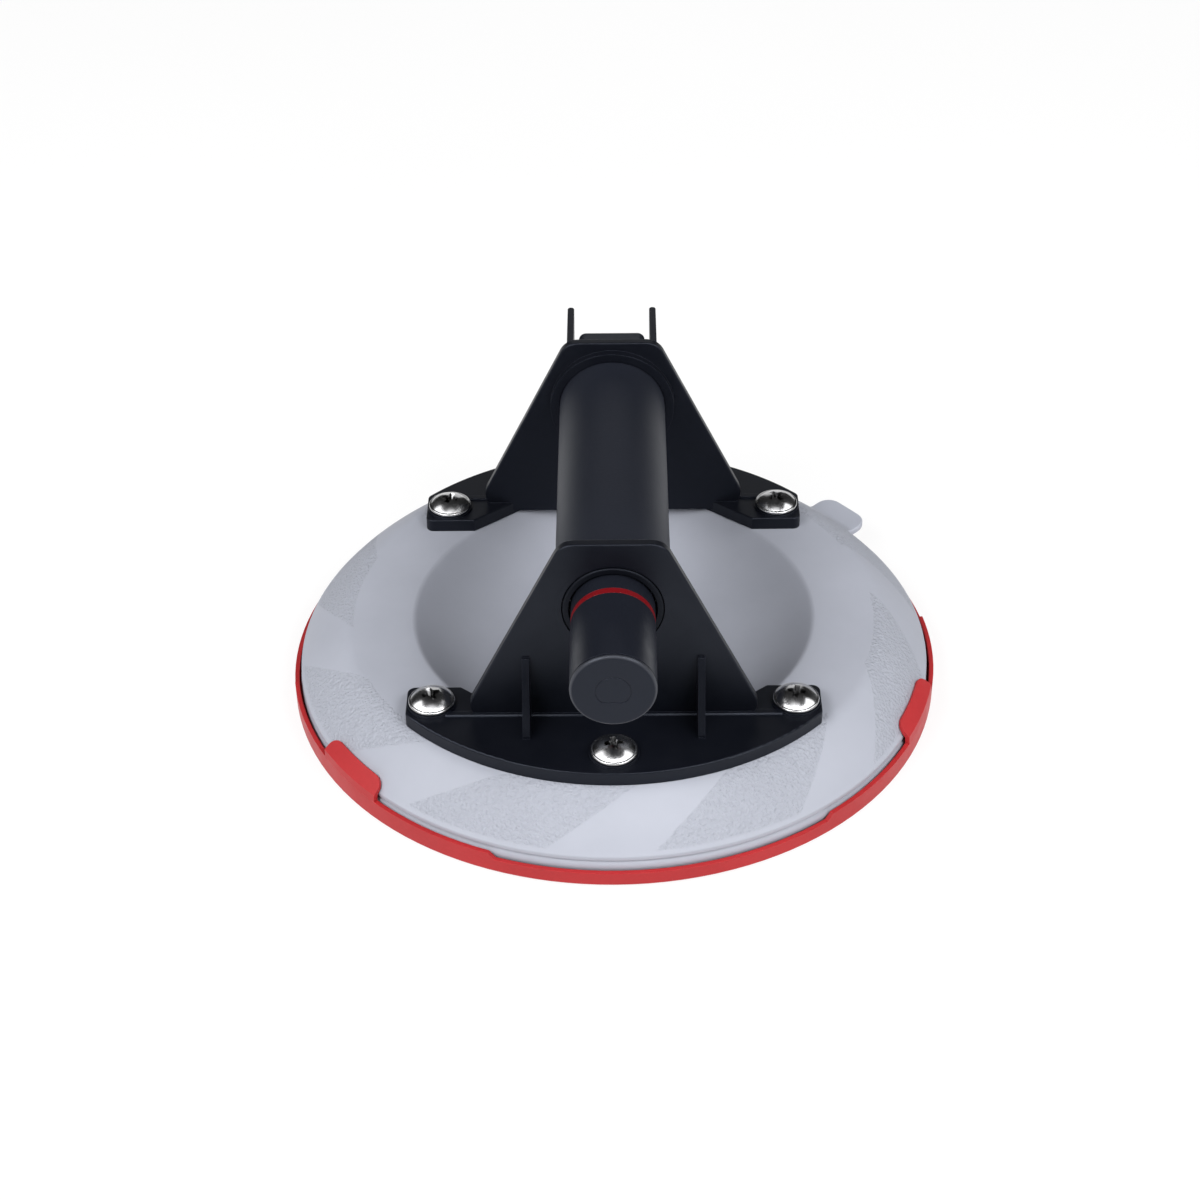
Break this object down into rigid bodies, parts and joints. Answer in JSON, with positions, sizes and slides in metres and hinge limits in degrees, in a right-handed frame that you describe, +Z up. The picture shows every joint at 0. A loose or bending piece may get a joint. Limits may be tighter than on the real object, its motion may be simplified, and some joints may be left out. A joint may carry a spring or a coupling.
{
  "type": "hand vacuum suction lifter",
  "caption": "Round rubber suction pad with a bar handle between two brackets, a sprung pump plunger at the handle's end and a clip-on pad cover.",
  "frame": {"origin": "on the pad's axis, at the underside of the pad cover", "axes": "+Z up out of the pad, the handle along Y, the pump plunger towards -Y"},
  "size_m": [0.2082, 0.2082, 0.0905],
  "materials": {
    "red_plastic": "semi-matt moulded",
    "grey_rubber": "matt, part stippled",
    "plated_steel": "zinc plated",
    "brass": "turned",
    "black_plastic": "semi-matt moulded",
    "screw_chrome": "polished",
    "tube_coating": "matt coated",
    "pump_plastic": "moulded",
    "bearing_plastic": "smooth",
    "seal_rubber": "smooth",
    "plunger_plastic": "satin",
    "indicator_red": "smooth",
    "spring_steel": "drawn wire",
    "filter_felt": "porous"
  },
  "bodies": {
    "pad_cover": {"protective_cover": "red_plastic", "cover_clips": "red_plastic"},
    "lifter": {"suction_pad": "grey_rubber", "backing_ring": "plated_steel", "threaded_inserts": "brass", "front_bracket": "black_plastic", "rear_bracket": "black_plastic", "front_bracket_screws": "screw_chrome", "rear_bracket_screws": "screw_chrome", "handle_tube": "tube_coating", "pump_barrel": "pump_plastic", "barrel_gland": "black_plastic", "guide_bush": "bearing_plastic", "barrel_end_plug": "pump_plastic", "end_plug_o_ring": "seal_rubber", "inlet_valve": "seal_rubber", "duct_cover": "black_plastic", "duct_gasket": "seal_rubber", "duct_screws": "screw_chrome", "port_nozzle": "brass", "air_filter": "filter_felt"},
    "plunger": {"plunger_sleeve": "plunger_plastic", "plunger_cap": "plunger_plastic", "vacuum_indicator_ring": "indicator_red", "piston_head": "pump_plastic", "piston_seal": "seal_rubber", "exhaust_valve": "seal_rubber", "return_spring": "spring_steel"}
  },
  "joints": [
    {"name": "cover_off", "type": "slide", "parent": "pad_cover", "child": "lifter", "axis": [0, 0, 1], "range_m": [0, 0.06], "deforming": ["cover_clips"]},
    {"name": "plunger_stroke", "type": "slide", "parent": "lifter", "child": "plunger", "axis": [0, 1, 0], "range_m": [0, 0.029], "stiffness_N_per_m": 350, "springref_m": -0.02, "deforming": ["return_spring"]}
  ]
}
